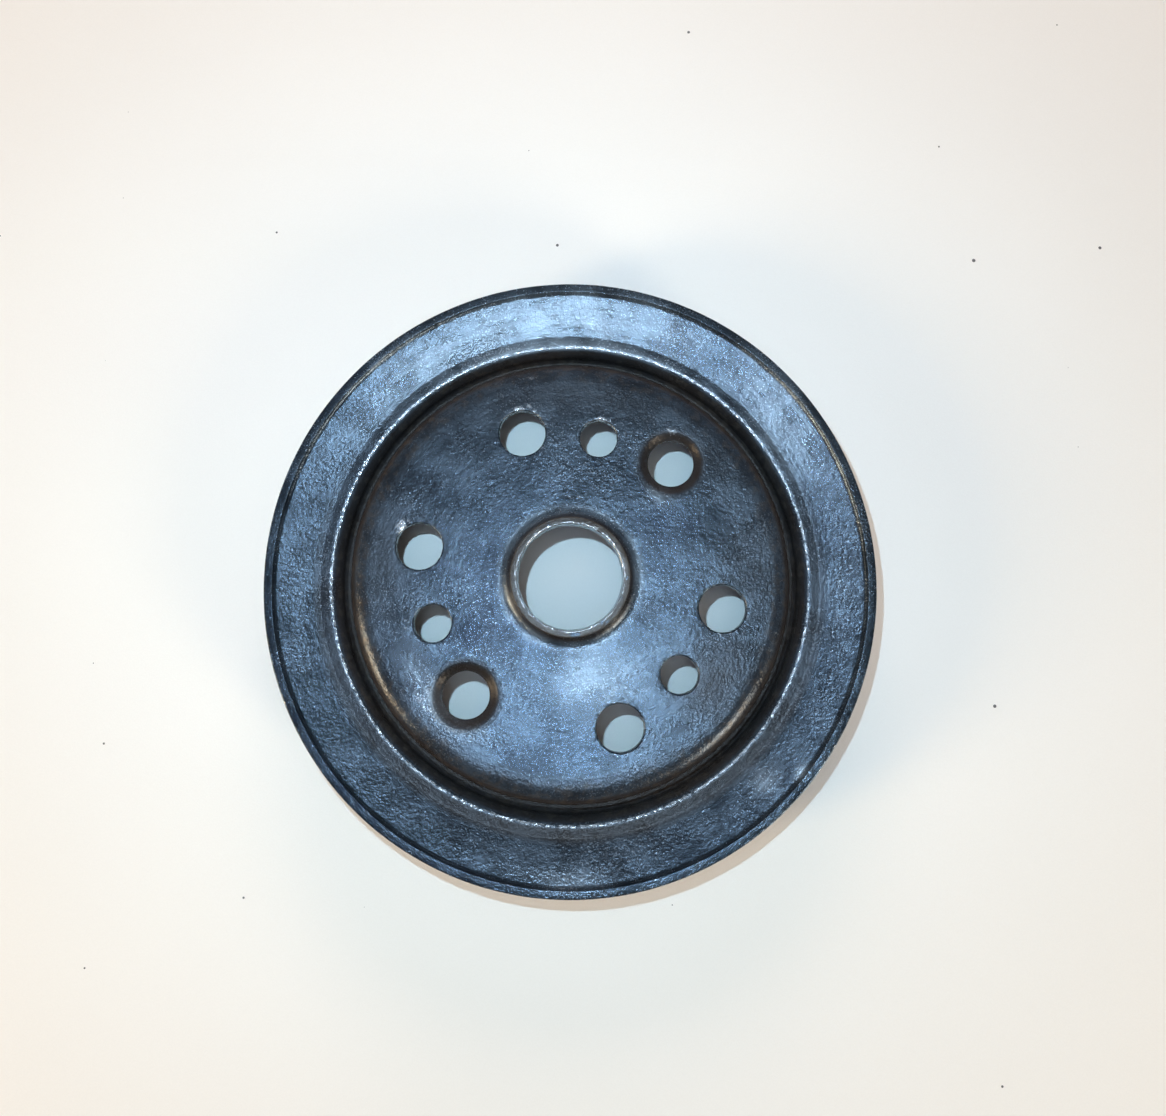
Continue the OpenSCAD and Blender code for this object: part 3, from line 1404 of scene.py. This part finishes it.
@dataclass(frozen=True)
class Studio:
    """Pale floor, soft light, a small hard lamp beside the lens, and the camera.

    Args:
        height: height of the lens above the rear rim.
        back: how far the lens stands from the axis, along Y.
        tilt: how far the camera leans from looking straight down, in degrees.
        lens: focal length, in millimetres.
        sensor: width of the sensor, in millimetres.
        shift_right: sideways shift of the lens, in widths of the picture.
        shift_down: downward shift of the lens, in widths of the picture.
        lamp_side: place of the lamp beside the lens, along X.
        lamp_ahead: place of the lamp beside the lens, along Y.
        lamp_radius: radius of the lamp.
        lamp_power: power of the lamp, in watts.
        lamp_colour: its colour.
        overhead: height of the panels above.
        low_height: height of the panels near the floor.
        low_reach: distance of those panels from the axis.
        floor_size: side of the square floor.
        floor_drop: gap between the rear rim and the floor.
    """

    height: float = 0.2096
    back: float = -0.0059
    tilt: float = 6.84
    lens: float = 23.8
    sensor: float = 36.0
    shift_right: float = 0.01104
    shift_down: float = 0.04194
    lamp_side: float = -0.0194
    lamp_ahead: float = 0.0294
    lamp_radius: float = 0.002
    lamp_power: float = 1.2
    lamp_colour: Colour = Colour(0.51, 0.8, 1.0)
    overhead: float = 1.0
    low_height: float = 0.3
    low_reach: float = 0.85
    floor_size: float = 6.0
    floor_drop: float = 0.0001

    def build(self) -> None:
        """Adds everything that is not part of the pulley."""
        self._camera()
        self._lamp()
        for panel in self._panels():
            panel.build()
        self._world()
        self._floor()
        bpy.context.scene.view_settings.view_transform = "Standard"

    def _camera(self) -> None:
        """The camera, above the pulley and slightly tilted."""
        data = bpy.data.cameras.new("camera")
        data.lens = self.lens
        data.sensor_width = self.sensor
        data.shift_x = self.shift_right
        data.shift_y = -self.shift_down
        data.clip_start = 0.01
        camera = shown("camera", data)
        camera.location = (0.0, self.back, self.height)
        camera.rotation_euler = (math.radians(self.tilt), 0.0, 0.0)
        bpy.context.scene.camera = camera

    def _lamp(self) -> None:
        """The hard lamp beside the lens, which throws the sharp shadows."""
        data = bpy.data.lights.new("lamp", "POINT")
        data.shadow_soft_size = self.lamp_radius
        data.energy = self.lamp_power
        data.color = self.lamp_colour.rgba()[:3]
        lamp = shown("lamp", data)
        lamp.location = (self.lamp_side, self.lamp_ahead + self.back, self.height)
        lamp.visible_glossy = False

    def _panels(self) -> list[Panel]:
        """The soft lights: panels overhead that the paint mirrors, and warm ones near the floor."""
        up, reach = self.overhead, 0.24
        small, slim, wide, tiny = (0.2, 0.2), (0.16, 0.24), (0.5, 0.3), (0.045, 0.045)
        glint = Colour(0.64, 0.85, 1.0)
        return [
            Panel("fill", (0.0, 0.0, 1.6), (3.2, 3.2), 12.0, Colour(0.82, 0.86, 0.9), mirrored=False),
            Panel("centre", (0.0, 0.0, up), small, 0.48, Colour(0.78, 0.9, 1.0)),
            Panel("front_left", (-reach, -reach, up), small, 0.26, Colour(0.62, 0.7, 1.0)),
            Panel("back_left", (-reach, reach, up), small, 0.2, Colour(0.76, 0.88, 1.0)),
            Panel("right", (reach, 0.0, up), small, 0.12, Colour(1.0, 0.85, 0.6)),
            Panel("window", (0.0, -reach, up), small, 0.25, Colour(0.7, 0.86, 1.0)),
            Panel("glint", (0.03, -0.135, up), tiny, 2.9, glint, scattered=False),
            Panel("low_left", self._low(202.5), slim, 5.4, Colour(1.0, 0.74, 0.45)),
            Panel("low_right", self._low(318.0), slim, 4.2, Colour(1.0, 0.86, 0.66)),
            Panel("low_back", self._low(90.0), wide, 5.4, Colour(1.0, 0.76, 0.62), mirrored=False),
        ]

    def _low(self, azimuth: float) -> tuple[float, float, float]:
        """A place near the floor, at an angle from +X in degrees."""
        angle = math.radians(azimuth)
        return (self.low_reach * math.cos(angle), self.low_reach * math.sin(angle), self.low_height)

    def _world(self) -> None:
        """Dim surroundings."""
        world = bpy.data.worlds.new("surroundings")
        world.use_nodes = True
        background = world.node_tree.nodes["Background"]
        background.inputs["Color"].default_value = Colour(0.55, 0.6, 0.7).rgba()
        background.inputs["Strength"].default_value = 0.01
        bpy.context.scene.world = world

    def _floor(self) -> None:
        """A wide sheet of pale paper under the pulley."""
        mesh = bpy.data.meshes.new("floor")
        half = self.floor_size / 2
        corners = [(-half, -half), (half, -half), (half, half), (-half, half)]
        mesh.from_pydata([(x, y, -self.floor_drop) for x, y in corners], [], [(0, 1, 2, 3)])
        mesh.materials.append(self._paper())
        shown("floor", mesh)

    def _paper(self) -> bpy.types.Material:
        """Off-white paper with a faint tooth, slow changes of tone and a few specks of dust."""
        material, recipe = empty_material("paper")
        place = recipe.add("ShaderNodeTexCoord").outputs["Object"]
        slow = recipe.noise(place, 9.0, 2.0)
        fine = recipe.noise(place, 2600.0, 2.0)
        share = recipe.plus(recipe.times(slow, 0.5), recipe.times(fine, 0.5))
        tone = recipe.mix(share, Colour(0.8, 0.79, 0.775), Colour(0.9, 0.89, 0.875))
        # the specks lie at the middles of some of the cells
        cells = recipe.add(
            "ShaderNodeTexVoronoi", {"Vector": place, "Scale": 26.0}, voronoi_dimensions="2D"
        ).outputs
        pick = recipe.add("ShaderNodeSeparateXYZ", {"Vector": cells["Color"]}).outputs[0]
        size = recipe.times(recipe.minus(pick, 0.55), 0.03)
        speck = recipe.math("LESS_THAN", cells["Distance"], size)
        bump = recipe.add(
            "ShaderNodeBump", {"Height": fine, "Strength": 0.3, "Distance": 0.05 * MM}
        )
        shader = recipe.add(
            "ShaderNodeBsdfPrincipled",
            {
                "Base Color": recipe.mix(speck, tone, Colour(0.12, 0.12, 0.13)),
                "Roughness": 0.85,
                "Normal": bump.outputs[0],
            },
        )
        recipe.add("ShaderNodeOutputMaterial", {"Surface": shader.outputs[0]})
        return material


# -------- The scene --------


def mount(name: str) -> dict:
    """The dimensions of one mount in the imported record."""
    return next(m["dims"] for m in frame["record"]["mounts"] if m["name"] == name)


@dataclass(frozen=True)
class Pulley:
    """The whole pulley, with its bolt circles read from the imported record."""

    section: PulleySection
    hole_turn: float = 48.4
    weld_count: int = 12
    sunk_step: int = 3

    def circles(self) -> tuple[BoltCircle, ...]:
        """The plain large holes, the sunk large holes and the small holes."""
        large = mount("large_bolt_circle")
        small = mount("small_bolt_circle")
        step = 360.0 / large["count"]
        large_ring = large["pcd_mm"] / 2 * MM
        plain = Hole(large["hole_r_mm"] * MM, HoleKind.PLAIN)
        sunk = Hole(large["hole_r_mm"] * MM, HoleKind.SUNK)
        little = Hole(small["hole_r_mm"] * MM, HoleKind.PLAIN)
        return (
            BoltCircle(plain, large_ring, large["count"], self.hole_turn + step, self.sunk_step),
            BoltCircle(sunk, large_ring, large["count"] // self.sunk_step, self.hole_turn),
            BoltCircle(little, small["pcd_mm"] / 2 * MM, small["count"], self.hole_turn + step / 2),
        )

    def build(self) -> None:
        """Builds the pieces, puts them on the frame and reports each one."""
        workshop = Workshop(sweep_tree(), circle_tree())
        shared = SharedEffects(grain_group(), wear_group(), streak_group())
        front_paint = PaintedSteel("front_paint_worn_with_painted_light").make(shared)
        rear_paint = PaintedSteel("rear_paint_worn").make(shared)
        weld_paint = PaintedSteel("weld_paint_worn", roughness=0.35).make(shared)
        front = FrontPressing(self.section, self.circles(), workshop).build(front_paint)
        welded = (self.section, workshop, self.weld_count, self.hole_turn)
        ring = RearFlangeRing(*welded).build(rear_paint)
        welds = SpotWelds(*welded).build(weld_paint)
        rows = (
            (front, "front_pressing", "front_paint"),
            (ring, "rear_flange_ring", "rear_paint"),
            (welds, "spot_welds", "weld_marks"),
        )
        for piece, node, slot in rows:
            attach(piece, "root")
            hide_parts(node)
            LOG.info("%s stands for %s", piece.name, node)


def main() -> None:
    """Builds the pulley and its studio."""
    logging.basicConfig(level=logging.INFO, format="%(message)s")
    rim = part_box("rear_flange_ring")[1].x
    section = PulleySection(rim_radius=rim / MM, bore_radius=mount("bore")["r_mm"])
    Pulley(section).build()
    Studio().build()


if __name__ == "__main__":
    main()
